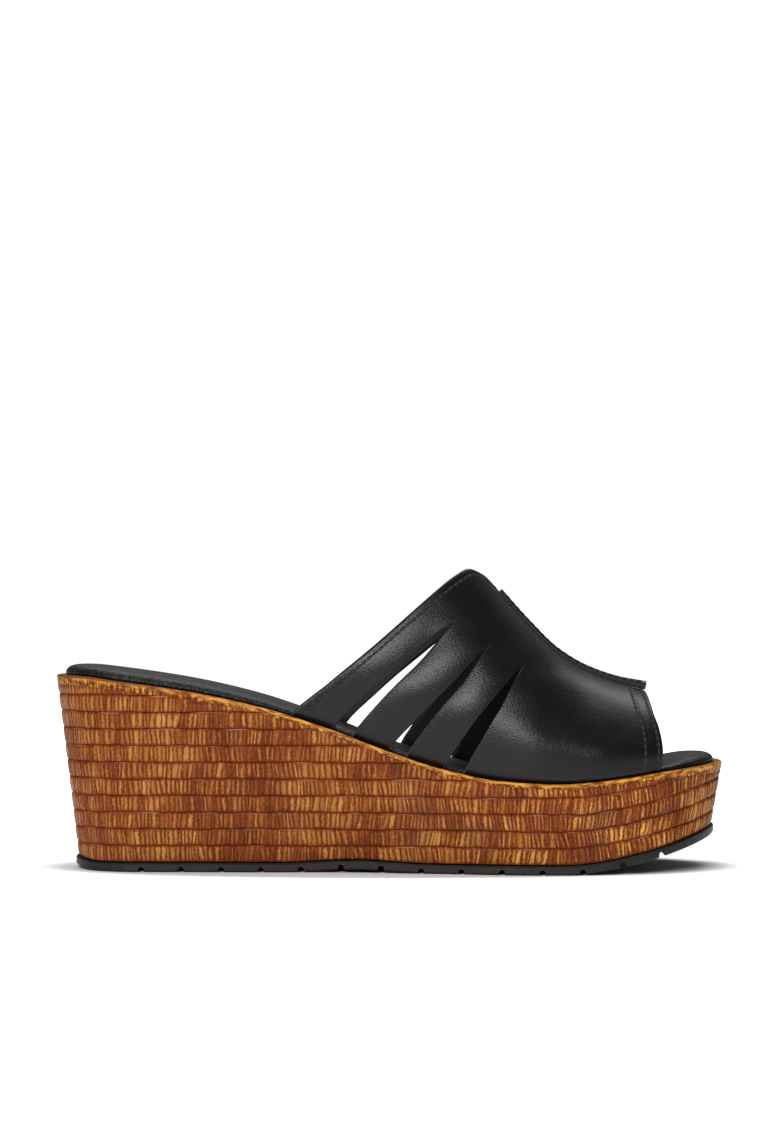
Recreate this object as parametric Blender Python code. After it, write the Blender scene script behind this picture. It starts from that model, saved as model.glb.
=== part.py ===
"""Platform slide: open backed wedge shoe with a slit leather upper, one right shoe.

Metres, +Z up. +X points to the toe, +Y to the inner side of the foot.
The shoe's outline, rim, tread, ridge and slit lines are short tables of shares of the named sizes.
"""

import math
from collections import namedtuple
from functools import partial

import bmesh
import bpy
from mathutils import Vector

# Overall sizes
SHOE_LENGTH = 0.246
BALL_WIDTH = 0.087
HEEL_WIDTH = 0.062
HEEL_HEIGHT = 0.071
PLATFORM_HEIGHT = 0.0327
TOE_HEIGHT = 0.0391

# Outline ends and the slope of the wedge's sides
HEEL_ROUND_LENGTH = 0.032
TOE_ROUND_LENGTH = 0.034
HEEL_ROUND_POWER = 2.2
TOE_ROUND_POWER = 2.4
SIDE_DRAFT = math.radians(4.5)
HEEL_DRAFT = math.radians(7.0)
TOE_DRAFT = math.radians(10.0)
DRAFT_REACH = 0.062

# Tread
OUTSOLE_THICKNESS = 0.0033
OUTSOLE_RIM = 0.0014
OUTSOLE_EDGE = 0.0006
TOE_SPRING = 0.014
TOE_SPRING_LENGTH = 0.058
TOE_SPRING_POWER = 1.45
HEEL_BEVEL_HEIGHT = 0.0026
HEEL_BEVEL_LENGTH = 0.015
ARCH_LIFT = 0.0012
ARCH_START = 0.084
ARCH_LENGTH = 0.054
GROOVE_COUNT = 14
GROOVE_PITCH = 0.01448
GROOVE_START = 0.0328
GROOVE_WIDTH = 0.0022
GROOVE_HEIGHT = 0.0019

# Wedge side: a smooth lip over stacked courses
LIP_HEIGHT = 0.0034
LIP_BEVEL = 0.0006
COURSE_BASE = 0.0096
COURSE_PITCH = 0.00606
COURSE_COUNT = 10
COURSE_GROOVE_WIDTH = 0.0014
COURSE_GROOVE_DEPTH = 0.0006
COURSE_RISE = 0.85

# Padded insole
INSOLE_INSET = 0.0034
INSOLE_THICKNESS = 0.0038
INSOLE_EDGE_WIDTH = 0.0046
INSOLE_EDGE_SHARE = 0.8
INSOLE_DISH = 0.0008
INSOLE_DISH_START = 0.0087
INSOLE_DISH_END = 0.0161

# Upper
UPPER_WALL = 0.0018
FEATHER_INSET = 0.0013
INSTEP_HEIGHT = 0.1016
VAMP_TOE_HEIGHT = 0.0656
RIDGE_OFFSET = 0.002
ARCH_POWER = 2.2
TOE_BAND_WIDTH = 0.0054
TOE_BAND_STEP = 0.0006
STRIP_WIDTH = 0.009
STRIP_COLLAR_THICKNESS = 0.0011
STRIP_TOE_THICKNESS = 0.0024
STRIP_EDGE_SHARE = 0.55
STRIP_SHOULDER_SHARE = 0.9
STRIP_SHOULDER_AT = 0.3
STRIP_COLUMNS = 16

# Room between pieces that touch
CLEARANCE = 0.0003

# Mesh steps
STATION_COUNT = 40
ROWS_TO_TIP = 8
ROWS_BELOW_TIP = 7
GROOVE_ARC_STEPS = 6
INSOLE_EDGE_STEPS = 4
MERGE_DISTANCE = 0.000001

# Plan outline: at is the share of SHOE_LENGTH. ball_part blends HEEL_WIDTH into BALL_WIDTH, and
# outer and inner are shares of half that width.
PlanRow = namedtuple("PlanRow", "at ball_part outer inner")
PLAN = (
    PlanRow(0.00, 0.00, 1.00, 1.00),
    PlanRow(0.14, 0.00, 1.00, 1.00),
    PlanRow(0.28, 0.02, 1.01, 0.96),
    PlanRow(0.42, 0.25, 0.93, 0.79),
    PlanRow(0.55, 0.60, 0.93, 0.82),
    PlanRow(0.64, 0.85, 0.965, 0.925),
    PlanRow(0.72, 1.00, 0.99, 1.00),
    PlanRow(0.80, 1.00, 0.975, 1.03),
    PlanRow(0.88, 1.00, 0.885, 1.01),
    PlanRow(0.95, 1.00, 0.75, 0.95),
    PlanRow(1.00, 1.00, 0.64, 0.89),
)

# Rim height over PLATFORM_HEIGHT: heel_share of the heel's extra height, toe_share of the toe's.
RimRow = namedtuple("RimRow", "at heel_share toe_share")
RIM = (
    RimRow(0.00, 1.000, 0.00),
    RimRow(0.04, 0.995, 0.00),
    RimRow(0.10, 0.950, 0.00),
    RimRow(0.20, 0.859, 0.00),
    RimRow(0.30, 0.726, 0.00),
    RimRow(0.40, 0.530, 0.00),
    RimRow(0.50, 0.292, 0.00),
    RimRow(0.58, 0.130, 0.00),
    RimRow(0.66, 0.030, 0.00),
    RimRow(0.75, 0.000, 0.00),
    RimRow(0.80, 0.000, 0.12),
    RimRow(0.90, 0.000, 0.62),
    RimRow(1.00, 0.000, 1.00),
)

# Insole: share is of its full thickness, less where the upper presses on it.
PadRow = namedtuple("PadRow", "at share")
PAD = (
    PadRow(0.00, 1.00),
    PadRow(0.08, 1.00),
    PadRow(0.20, 0.92),
    PadRow(0.30, 0.78),
    PadRow(0.40, 0.62),
    PadRow(0.55, 0.48),
    PadRow(0.80, 0.44),
    PadRow(0.90, 0.58),
    PadRow(0.95, 0.94),
    PadRow(1.00, 1.00),
)

# Ridge of the last over the instep: rise is a share of the height from VAMP_TOE_HEIGHT up to
# INSTEP_HEIGHT. Behind the collar's notch the ridge goes on up the shin and holds no leather.
RidgeRow = namedtuple("RidgeRow", "at rise")
RIDGE = (
    RidgeRow(0.350, 2.85),
    RidgeRow(0.410, 2.58),
    RidgeRow(0.490, 2.18),
    RidgeRow(0.570, 1.74),
    RidgeRow(0.618, 1.40),
    RidgeRow(0.664, 1.00),
    RidgeRow(0.708, 0.66),
    RidgeRow(0.749, 0.385),
    RidgeRow(0.794, 0.193),
    RidgeRow(0.846, 0.060),
    RidgeRow(0.885, 0.000),
    RidgeRow(0.915, -0.055),
)

# Edge lines across the arch: at is the share of the arch from ridge to feather, along is the
# share of SHOE_LENGTH where the edge lies.
EdgeRow = namedtuple("EdgeRow", "at along")
COLLAR_EDGE = (
    EdgeRow(0.000, 0.664),
    EdgeRow(0.078, 0.647),
    EdgeRow(0.190, 0.630),
    EdgeRow(0.245, 0.6195),
    EdgeRow(0.375, 0.599),
    EdgeRow(0.494, 0.575),
    EdgeRow(0.617, 0.5415),
    EdgeRow(0.782, 0.480),
    EdgeRow(0.927, 0.405),
    EdgeRow(1.000, 0.353),
)
COLLAR_INNER_SHIFT = 0.004
TOE_EDGE = (
    EdgeRow(0.000, 0.8854),
    EdgeRow(0.300, 0.8885),
    EdgeRow(0.480, 0.8925),
    EdgeRow(0.630, 0.8992),
    EdgeRow(0.775, 0.9024),
    EdgeRow(1.000, 0.9018),
)

# Slits: each opens from its tip to the feather. Places are shares of SHOE_LENGTH, tip_at is a share
# of the arch, ridge is where the slit's line would reach the ridge, and inner_shift moves the
# slit of the inner side. Low and high are at the arch shares SLIT_LOW_AT and SLIT_HIGH_AT.
SlitRow = namedtuple(
    "SlitRow",
    "ridge tip tip_at back_high back_low back_foot front_high front_low front_foot inner_shift",
)
SLITS = (
    SlitRow(0.700, 0.5945, 0.593, 0.535, 0.4705, 0.416, 0.548, 0.4903, 0.443, 0.014),
    SlitRow(0.750, 0.648, 0.557, 0.5995, 0.547, 0.4985, 0.608, 0.5615, 0.5225, -0.009),
    SlitRow(0.797, 0.6945, 0.538, 0.651, 0.613, 0.580, 0.664, 0.6345, 0.606, -0.014),
)
SLIT_HIGH_AT = 0.76
SLIT_LOW_AT = 0.90

# Mesh columns of each strap and of the vamp
PANEL_COLUMNS = (4, 3, 3, 9)
BAND_COLUMNS = 2

OUTER = -1
INNER = 1


def smooth(rows, column, at):
    """A table's column at a share, by cubic pieces that keep the rows' rises and falls."""
    places = [row.at for row in rows]
    values = [getattr(row, column) for row in rows]
    at = min(max(at, places[0]), places[-1])
    spans = [b - a for a, b in zip(places, places[1:])]
    rises = [(b - a) / span for a, b, span in zip(values, values[1:], spans)]
    slopes = [rises[0]]
    for before, after in zip(rises, rises[1:]):
        level = before * after <= 0
        slopes.append(0.0 if level else 2 * before * after / (before + after))
    slopes.append(rises[-1])
    piece = max(i for i in range(len(spans)) if places[i] <= at)
    share = (at - places[piece]) / spans[piece]
    start_part = (1 + 2 * share) * (1 - share) ** 2
    end_part = share * share * (3 - 2 * share)
    start_slope_part = share * (1 - share) ** 2 * spans[piece]
    end_slope_part = share * share * (share - 1) * spans[piece]
    return (
        start_part * values[piece]
        + end_part * values[piece + 1]
        + start_slope_part * slopes[piece]
        + end_slope_part * slopes[piece + 1]
    )


def rounded_end(share, power):
    """Half width of a rounded end, from 0 at its tip to 1 at its full width."""
    share = min(max(share, 0.0), 1.0)
    return (1 - (1 - share) ** power) ** (1 / power)


def station(index):
    """Share of SHOE_LENGTH of a station, closer together at the heel and toe ends."""
    return (1 - math.cos(math.pi * index / STATION_COUNT)) / 2


def plan_half(at, side):
    """Distance of the rim from the shoe's axis on one side, before the ends are rounded."""
    blend = smooth(PLAN, "ball_part", at)
    local_half = (HEEL_WIDTH + (BALL_WIDTH - HEEL_WIDTH) * blend) / 2
    return local_half * smooth(PLAN, "outer" if side == OUTER else "inner", at)


def centre_line(at):
    """Middle of the outline at a share of SHOE_LENGTH."""
    return (plan_half(at, INNER) - plan_half(at, OUTER)) / 2


def outline_x(at, depth=0.0, inset=0.0):
    """Place along the shoe of a station, where the ends lean in with depth below the rim."""
    heel_weight = max(0.0, 1 - at * SHOE_LENGTH / DRAFT_REACH) ** 2
    toe_weight = max(0.0, 1 - (1 - at) * SHOE_LENGTH / DRAFT_REACH) ** 2
    from_heel = (depth * math.tan(HEEL_DRAFT) + inset) * heel_weight
    from_toe = (depth * math.tan(TOE_DRAFT) + inset) * toe_weight
    return SHOE_LENGTH * at + from_heel - from_toe


def outline_y(at, side, depth=0.0, inset=0.0):
    """Place across the shoe of the outline at a station."""
    half = (plan_half(at, INNER) + plan_half(at, OUTER)) / 2
    half -= depth * math.tan(SIDE_DRAFT) + inset
    heel_end = rounded_end(at * SHOE_LENGTH / HEEL_ROUND_LENGTH, HEEL_ROUND_POWER)
    toe_end = rounded_end((1 - at) * SHOE_LENGTH / TOE_ROUND_LENGTH, TOE_ROUND_POWER)
    return centre_line(at) + side * half * heel_end * toe_end


def rim_height(at):
    """Height of the wedge's top edge."""
    heel_part = (HEEL_HEIGHT - PLATFORM_HEIGHT) * smooth(RIM, "heel_share", at)
    toe_part = (TOE_HEIGHT - PLATFORM_HEIGHT) * smooth(RIM, "toe_share", at)
    return PLATFORM_HEIGHT + heel_part + toe_part


def toe_lift(x):
    """Rise of the tread towards the toe."""
    share = max(0.0, (x - SHOE_LENGTH + TOE_SPRING_LENGTH) / TOE_SPRING_LENGTH)
    return TOE_SPRING * share ** TOE_SPRING_POWER


def tread_height(x):
    """Height of the tread's underside: heel bevel, flat heel, low arch, flat ball, toe spring."""
    heel = HEEL_BEVEL_HEIGHT * max(0.0, 1 - x / HEEL_BEVEL_LENGTH)
    arch_share = min(max((x - ARCH_START) / ARCH_LENGTH, 0.0), 1.0)
    arch = ARCH_LIFT * math.sin(math.pi * arch_share) ** 2
    return heel + arch + toe_lift(x)


def foot_of_wedge(at):
    """Place along the shoe and height of the tread's underside below a station."""
    x = SHOE_LENGTH * at
    for _ in range(4):
        height = tread_height(x)
        x = outline_x(at, rim_height(at) - height)
    return x, tread_height(x)


def ring_stations():
    """Stations once round the outline: outer side heel to toe, then inner side back."""
    outer = [(station(i), OUTER) for i in range(STATION_COUNT + 1)]
    inner = [(station(i), INNER) for i in range(STATION_COUNT - 1, 0, -1)]
    return outer + inner


def add_rings(bm, rings):
    """Vertices for each ring of points, joined by faces from each ring to the next."""
    loops = [[bm.verts.new(point) for point in ring] for ring in rings]
    count = len(loops[0])
    for above, below in zip(loops, loops[1:]):
        for i in range(count):
            j = (i + 1) % count
            bm.faces.new((above[i], below[i], below[j], above[j]))
    return loops


def cap_ring(bm, loop, facing_up):
    """Close a ring with faces from its outer side straight across to its inner side."""
    count = len(loop)
    for i in range(STATION_COUNT):
        outer_pair = [loop[i], loop[i + 1]]
        inner_pair = [loop[(count - i - 1) % count], loop[(count - i) % count]]
        corners = list(dict.fromkeys(outer_pair + inner_pair))
        bm.faces.new(corners if facing_up else corners[::-1])


def finish_mesh(bm, name):
    """Merge what meets, turn faces out and hand the mesh over."""
    bmesh.ops.remove_doubles(bm, verts=bm.verts, dist=MERGE_DISTANCE)
    bmesh.ops.dissolve_degenerate(bm, edges=bm.edges, dist=MERGE_DISTANCE)
    bmesh.ops.recalc_face_normals(bm, faces=bm.faces)
    mesh = bpy.data.meshes.new(name)
    bm.to_mesh(mesh)
    bm.free()
    return mesh


def make_material(name, colour, roughness):
    """Principled material of a leather, foam or rubber."""
    material = bpy.data.materials.new(name)
    material.use_nodes = True
    shader = material.node_tree.nodes["Principled BSDF"]
    shader.inputs["Base Color"].default_value = (*colour, 1.0)
    shader.inputs["Roughness"].default_value = roughness
    shader.inputs["Metallic"].default_value = 0.0
    material.diffuse_color = (*colour, 1.0)
    return material


def place(name, mesh, material, parent):
    """One named object of the shoe."""
    mesh.materials.append(material)
    node = bpy.data.objects.new(name, mesh)
    node.parent = parent
    bpy.context.scene.collection.objects.link(node)
    return node


def thicken(node, thickness, offset):
    """Give a sheet its wall."""
    solidify = node.modifiers.new("wall", "SOLIDIFY")
    solidify.thickness = thickness
    solidify.offset = offset
    solidify.use_even_offset = True
    solidify.use_quality_normals = True


def make_outsole(parent, material):
    """Rubber sheet under the wedge with a small rim and grooves across its tread."""
    levels = (
        (0.0, OUTSOLE_EDGE),
        (OUTSOLE_EDGE, 0.0),
        (OUTSOLE_THICKNESS - OUTSOLE_EDGE, 0.0),
        (OUTSOLE_THICKNESS, OUTSOLE_EDGE),
    )
    rings = []
    for height, edge in reversed(levels):
        ring = []
        for at, side in ring_stations():
            _, under = foot_of_wedge(at)
            depth = rim_height(at) - under
            inset = edge - OUTSOLE_RIM
            x = outline_x(at, depth, inset)
            ring.append((x, outline_y(at, side, depth, inset), tread_height(x) + height))
        rings.append(ring)
    bm = bmesh.new()
    loops = add_rings(bm, rings)
    cap_ring(bm, loops[0], facing_up=True)
    cap_ring(bm, loops[-1], facing_up=False)
    outsole = place("outsole", finish_mesh(bm, "outsole"), material, parent)
    cut = outsole.modifiers.new("grooves", "BOOLEAN")
    cut.operation = "DIFFERENCE"
    cut.solver = "EXACT"
    cut.object = make_groove_cutter(parent)
    return outsole


def make_groove_cutter(parent):
    """Bars with arched tops, one for each groove of the tread."""
    bm = bmesh.new()
    reach = BALL_WIDTH
    for groove in range(GROOVE_COUNT):
        middle = GROOVE_START + GROOVE_PITCH * groove
        base = tread_height(middle)
        arch_height = GROOVE_WIDTH / 2
        profile = [(middle - GROOVE_WIDTH / 2, base - GROOVE_HEIGHT)]
        profile.append((middle + GROOVE_WIDTH / 2, base - GROOVE_HEIGHT))
        for step in range(GROOVE_ARC_STEPS + 1):
            angle = math.pi * step / GROOVE_ARC_STEPS
            along = middle + GROOVE_WIDTH / 2 * math.cos(angle)
            up = base + GROOVE_HEIGHT - arch_height + arch_height * math.sin(angle)
            profile.append((along, up))
        corners = [bm.verts.new((x, -reach, z)) for x, z in profile]
        face = bm.faces.new(corners)
        extruded = bmesh.ops.extrude_face_region(bm, geom=[face])["geom"]
        moved = [item for item in extruded if isinstance(item, bmesh.types.BMVert)]
        bmesh.ops.translate(bm, verts=moved, vec=(0.0, 2 * reach, 0.0))
    cutter = bpy.data.objects.new("groove_cutter", finish_mesh(bm, "groove_cutter"))
    cutter.parent = parent
    cutter.hide_render = True
    cutter.display_type = "WIRE"
    bpy.context.scene.collection.objects.link(cutter)
    return cutter


def course_height(course, at):
    """Height of the groove under a course; the courses curve up with the tread at the toe."""
    return COURSE_BASE + COURSE_PITCH * course + COURSE_RISE * toe_lift(SHOE_LENGTH * at)


def wedge_levels(at):
    """Heights and insets down one column of the wedge's side, from its top edge to its foot."""
    rim = rim_height(at)
    lip_foot = rim - LIP_HEIGHT
    levels = [(rim, LIP_BEVEL), (rim - LIP_BEVEL, 0.0), (lip_foot, 0.0)]
    for course in reversed(range(COURSE_COUNT)):
        groove = course_height(course, at)
        for rise, inset in (
            (COURSE_GROOVE_WIDTH / 2, 0.0),
            (0.0, COURSE_GROOVE_DEPTH),
            (-COURSE_GROOVE_WIDTH / 2, 0.0),
        ):
            under_lip = groove + rise >= lip_foot
            levels.append((lip_foot, 0.0) if under_lip else (groove + rise, inset))
    return levels


def make_wedge(parent, material):
    """Moulded wedge and platform with its lip and stacked courses."""
    columns = []
    for at, side in ring_stations():
        column = []
        rim = rim_height(at)
        for height, inset in wedge_levels(at):
            x = outline_x(at, rim - height, inset)
            column.append((x, outline_y(at, side, rim - height, inset), height))
        _, under = foot_of_wedge(at)
        depth = rim - under
        x = outline_x(at, depth)
        foot = tread_height(x) + OUTSOLE_THICKNESS + CLEARANCE
        column.append((x, outline_y(at, side, depth), foot))
        columns.append(column)
    rings = list(zip(*columns))
    bm = bmesh.new()
    loops = add_rings(bm, rings)
    cap_ring(bm, loops[0], facing_up=True)
    cap_ring(bm, loops[-1], facing_up=False)
    return place("wedge", finish_mesh(bm, "wedge"), material, parent)


def make_insole(parent, material):
    """Padded footbed with a rounded edge and a shallow dish."""
    levels = [(0.0, 0.0)]
    for step in range(INSOLE_EDGE_STEPS + 1):
        angle = math.pi / 2 * step / INSOLE_EDGE_STEPS
        rise = 1 - INSOLE_EDGE_SHARE * (1 - math.sin(angle))
        levels.append((rise, INSOLE_EDGE_WIDTH * (1 - math.cos(angle))))
    dish_share = INSOLE_DISH / INSOLE_THICKNESS
    levels.append((1 - dish_share / 2, INSOLE_DISH_START))
    levels.append((1 - dish_share, INSOLE_DISH_END))
    rings = []
    for rise, run in reversed(levels):
        ring = []
        for at, side in ring_stations():
            inset = INSOLE_INSET + run
            x = outline_x(at, 0.0, inset)
            thickness = INSOLE_THICKNESS * smooth(PAD, "share", x / SHOE_LENGTH) - CLEARANCE
            height = rim_height(x / SHOE_LENGTH) + CLEARANCE + thickness * rise
            ring.append((x, outline_y(at, side, 0.0, inset), height))
        rings.append(ring)
    bm = bmesh.new()
    loops = add_rings(bm, rings)
    cap_ring(bm, loops[0], facing_up=True)
    cap_ring(bm, loops[-1], facing_up=False)
    return place("insole", finish_mesh(bm, "insole"), material, parent)


def ridge_height(at):
    """Height of the last's ridge."""
    rise = smooth(RIDGE, "rise", at)
    return VAMP_TOE_HEIGHT + (INSTEP_HEIGHT - VAMP_TOE_HEIGHT) * rise


def arch_point(at, side, arch):
    """Point of the upper's outer surface: arch is 0 on the ridge and 1 at the feather."""
    angle = math.pi / 2 * arch
    across = math.sin(angle) ** (2 / ARCH_POWER)
    up = max(math.cos(angle), 0.0) ** (2 / ARCH_POWER)
    ridge_y = centre_line(at) + RIDGE_OFFSET
    foot_y = outline_y(at, side, 0.0, FEATHER_INSET)
    foot_z = rim_height(at) + CLEARANCE
    y = ridge_y + (foot_y - ridge_y) * across
    return Vector((outline_x(at, 0.0, FEATHER_INSET), y, foot_z + (ridge_height(at) - foot_z) * up))


def arch_normal(at, side, arch):
    """Direction straight out of the upper's outer surface."""
    step = 0.002
    low = max(arch - step, 0.0)
    across = arch_point(at, side, min(low + 2 * step, 1.0)) - arch_point(at, side, low)
    along = arch_point(at + step, side, arch) - arch_point(at - step, side, arch)
    normal = across.cross(along)
    return normal.normalized() * (1 if side == OUTER else -1)


def slit_edge(slit, end, side, arch):
    """Share of SHOE_LENGTH of one edge of a slit, or of its line between tip and ridge."""
    shift = slit.inner_shift if side == INNER else 0.0
    if arch <= slit.tip_at:
        share = arch / slit.tip_at
        return slit.ridge + (slit.tip + shift - slit.ridge) * share
    high, low, foot = (
        (slit.back_high, slit.back_low, slit.back_foot)
        if end == "back"
        else (slit.front_high, slit.front_low, slit.front_foot)
    )
    rows = (
        EdgeRow(slit.tip_at, slit.tip),
        EdgeRow(SLIT_HIGH_AT, high),
        EdgeRow(SLIT_LOW_AT, low),
        EdgeRow(1.0, foot),
    )
    return smooth(rows, "along", arch) + shift


def collar_edge(side, arch):
    """Share of SHOE_LENGTH of the collar's edge."""
    shift = COLLAR_INNER_SHIFT * arch if side == INNER else 0.0
    return smooth(COLLAR_EDGE, "along", arch) + shift


def toe_edge(side, arch):
    """Share of SHOE_LENGTH of the toe opening's edge."""
    return smooth(TOE_EDGE, "along", arch)


def vamp_edge(side, arch):
    """Share of SHOE_LENGTH of the vamp's cut edge, behind the toe band."""
    return toe_edge(side, arch) - TOE_BAND_WIDTH / SHOE_LENGTH


def band_edge(side, arch):
    """Share of SHOE_LENGTH of the toe band's back edge."""
    return vamp_edge(side, arch) + CLEARANCE / SHOE_LENGTH


def panel_edges():
    """Back and front edge of each strap and of the vamp, with the arch share of the tip row."""
    lines = [(collar_edge, SLITS[0].tip_at)]
    for slit in SLITS:
        for end in ("back", "front"):
            lines.append((partial(slit_edge, slit, end), slit.tip_at))
    lines.append((vamp_edge, SLITS[-1].tip_at))
    return list(zip(lines[0::2], lines[1::2]))


def add_panel(bm, back, front, columns, sink=0.0):
    """Grid of the upper's surface between two edge lines, over the whole arch."""
    back_edge, back_tip = back
    front_edge, front_tip = front
    row_count = ROWS_TO_TIP + ROWS_BELOW_TIP
    rows = [(OUTER, row) for row in range(row_count, 0, -1)]
    rows += [(INNER, row) for row in range(row_count + 1)]
    grid = []
    for side, row in rows:
        line = []
        for column in range(columns + 1):
            share = column / columns
            tip = back_tip + (front_tip - back_tip) * share
            if row <= ROWS_TO_TIP:
                arch = tip * row / ROWS_TO_TIP
            else:
                arch = tip + (1 - tip) * (row - ROWS_TO_TIP) / ROWS_BELOW_TIP
            start = back_edge(side, arch)
            at = start + (front_edge(side, arch) - start) * share
            point = arch_point(at, side, arch)
            if sink:
                point -= arch_normal(at, side, arch) * sink
            line.append(bm.verts.new(point))
        grid.append(line)
    for near, far in zip(grid, grid[1:]):
        for column in range(columns):
            bm.faces.new((near[column], near[column + 1], far[column + 1], far[column]))


def sheet_mesh(bm, name):
    """Merge the panels of a sheet, whose faces already look out."""
    bmesh.ops.remove_doubles(bm, verts=bm.verts, dist=MERGE_DISTANCE)
    mesh = bpy.data.meshes.new(name)
    bm.to_mesh(mesh)
    bm.free()
    return mesh


def make_upper(parent, material):
    """Two quarters closed over the instep, slit three times a side and open at the toe."""
    bm = bmesh.new()
    for (back, front), columns in zip(panel_edges(), PANEL_COLUMNS):
        add_panel(bm, back, front, columns)
    upper = place("upper", sheet_mesh(bm, "upper"), material, parent)
    thicken(upper, UPPER_WALL, -1.0)
    return upper


def make_toe_band(parent, material):
    """Lower band round the toe opening, in front of the vamp's cut edge."""
    bm = bmesh.new()
    tip = SLITS[-1].tip_at
    add_panel(bm, (band_edge, tip), (toe_edge, tip), BAND_COLUMNS, sink=TOE_BAND_STEP)
    band = place("toe_band", sheet_mesh(bm, "toe_band"), material, parent)
    thicken(band, UPPER_WALL - TOE_BAND_STEP, -1.0)
    return band


def arch_share_at(at, side, across):
    """Arch share where the surface lies a given distance across from the ridge."""
    ridge_y = centre_line(at) + RIDGE_OFFSET
    half = abs(outline_y(at, side, 0.0, FEATHER_INSET) - ridge_y)
    return math.asin((across / half) ** (ARCH_POWER / 2)) / (math.pi / 2)


def make_centre_strip(parent, material):
    """Raised strip over the middle seam, domed across and thicker towards the toe."""
    start = collar_edge(OUTER, 0.0)
    end = toe_edge(OUTER, 0.0)
    profile = (
        (OUTER, 0.5, 0.0),
        (OUTER, 0.5, STRIP_EDGE_SHARE),
        (OUTER, STRIP_SHOULDER_AT, STRIP_SHOULDER_SHARE),
        (INNER, 0.0, 1.0),
        (INNER, STRIP_SHOULDER_AT, STRIP_SHOULDER_SHARE),
        (INNER, 0.5, STRIP_EDGE_SHARE),
        (INNER, 0.5, 0.0),
        (INNER, 0.25, 0.0),
        (INNER, 0.0, 0.0),
        (OUTER, 0.25, 0.0),
    )
    bm = bmesh.new()
    sections = []
    for column in range(STRIP_COLUMNS + 1):
        share = column / STRIP_COLUMNS
        at = start + (end - start) * share
        swell = (STRIP_TOE_THICKNESS - STRIP_COLLAR_THICKNESS) * share ** 2
        thickness = STRIP_COLLAR_THICKNESS + swell
        section = []
        for side, across, height in profile:
            arch = arch_share_at(at, side, across * STRIP_WIDTH)
            lift = CLEARANCE + thickness * height
            point = arch_point(at, side, arch) + arch_normal(at, side, arch) * lift
            section.append(bm.verts.new(point))
        sections.append(section)
    count = len(profile)
    for near, far in zip(sections, sections[1:]):
        for i in range(count):
            j = (i + 1) % count
            bm.faces.new((near[i], near[j], far[j], far[i]))
    bm.faces.new(sections[0])
    bm.faces.new(sections[-1][::-1])
    return place("centre_strip", finish_mesh(bm, "centre_strip"), material, parent)


def outline_middle():
    """Middle of the shoe's width, half way between its widest points."""
    edges = [outline_y(at, side) for at, side in ring_stations()]
    return (max(edges) + min(edges)) / 2


def main():
    """Clear the scene and model the shoe, centred over the middle of its box."""
    for node in list(bpy.data.objects):
        bpy.data.objects.remove(node, do_unlink=True)
    shoe = bpy.data.objects.new("shoe", None)
    shoe.location = (-SHOE_LENGTH / 2, -outline_middle(), 0.0)
    bpy.context.scene.collection.objects.link(shoe)
    leather = make_material("black_leather", (0.011, 0.011, 0.012), 0.42)
    padding = make_material("black_leather_footbed", (0.022, 0.023, 0.024), 0.6)
    foam = make_material("tan_moulded_polyurethane", (0.30, 0.115, 0.045), 0.55)
    rubber = make_material("black_rubber", (0.026, 0.028, 0.028), 0.7)
    make_outsole(shoe, rubber)
    make_wedge(shoe, foam)
    make_insole(shoe, padding)
    make_upper(shoe, leather)
    make_toe_band(shoe, leather)
    make_centre_strip(shoe, leather)


main()
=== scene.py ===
"""Platform slide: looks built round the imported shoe, one right shoe.

Metres, +Z up. +X points to the toe, +Y to the inner side of the foot.
Shapes are worked out with x from the heel, and moved over the middle of the shoe at the end.
"""

import math
import random
from bisect import bisect_right
from collections import namedtuple
from functools import lru_cache, partial
from itertools import accumulate

import bmesh
import bpy
from mathutils import Matrix, Vector


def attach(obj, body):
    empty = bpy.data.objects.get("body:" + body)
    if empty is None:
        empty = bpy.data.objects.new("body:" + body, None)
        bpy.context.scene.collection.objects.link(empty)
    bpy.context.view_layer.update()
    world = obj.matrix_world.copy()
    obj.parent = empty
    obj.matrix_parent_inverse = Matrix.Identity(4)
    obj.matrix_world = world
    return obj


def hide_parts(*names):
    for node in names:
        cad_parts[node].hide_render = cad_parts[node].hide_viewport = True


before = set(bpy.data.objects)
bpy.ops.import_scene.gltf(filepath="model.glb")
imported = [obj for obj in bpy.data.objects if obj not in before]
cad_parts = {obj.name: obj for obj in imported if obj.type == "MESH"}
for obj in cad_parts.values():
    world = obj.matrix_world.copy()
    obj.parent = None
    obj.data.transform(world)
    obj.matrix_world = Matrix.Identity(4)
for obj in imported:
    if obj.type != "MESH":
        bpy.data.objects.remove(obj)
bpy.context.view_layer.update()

# Sizes shared with the solids
SHOE_LENGTH = 0.246
BALL_WIDTH = 0.087
HEEL_WIDTH = 0.062
HEEL_HEIGHT = 0.071
PLATFORM_HEIGHT = 0.0327
TOE_HEIGHT = 0.0391

# Outline ends and the slope of the wedge's sides
HEEL_ROUND_LENGTH = 0.032
TOE_ROUND_LENGTH = 0.034
HEEL_ROUND_POWER = 2.2
TOE_ROUND_POWER = 2.4
SIDE_DRAFT = math.radians(4.5)
HEEL_DRAFT = math.radians(7.0)
TOE_DRAFT = math.radians(10.0)
DRAFT_REACH = 0.062

# Tread
OUTSOLE_THICKNESS = 0.0033
TOE_SPRING = 0.014
TOE_SPRING_LENGTH = 0.058
TOE_SPRING_POWER = 1.45
HEEL_BEVEL_HEIGHT = 0.0026
HEEL_BEVEL_LENGTH = 0.015
ARCH_LIFT = 0.0012
ARCH_START = 0.084
ARCH_LENGTH = 0.054

# Wedge side: a smooth lip over stacked courses
COURSE_BASE = 0.0096
COURSE_PITCH = 0.00606
COURSE_COUNT = 10
COURSE_RISE = 0.85

# Padded insole
INSOLE_INSET = 0.0034
INSOLE_THICKNESS = 0.0038
INSOLE_EDGE_WIDTH = 0.0046
INSOLE_EDGE_SHARE = 0.8
INSOLE_DISH = 0.0008

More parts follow.
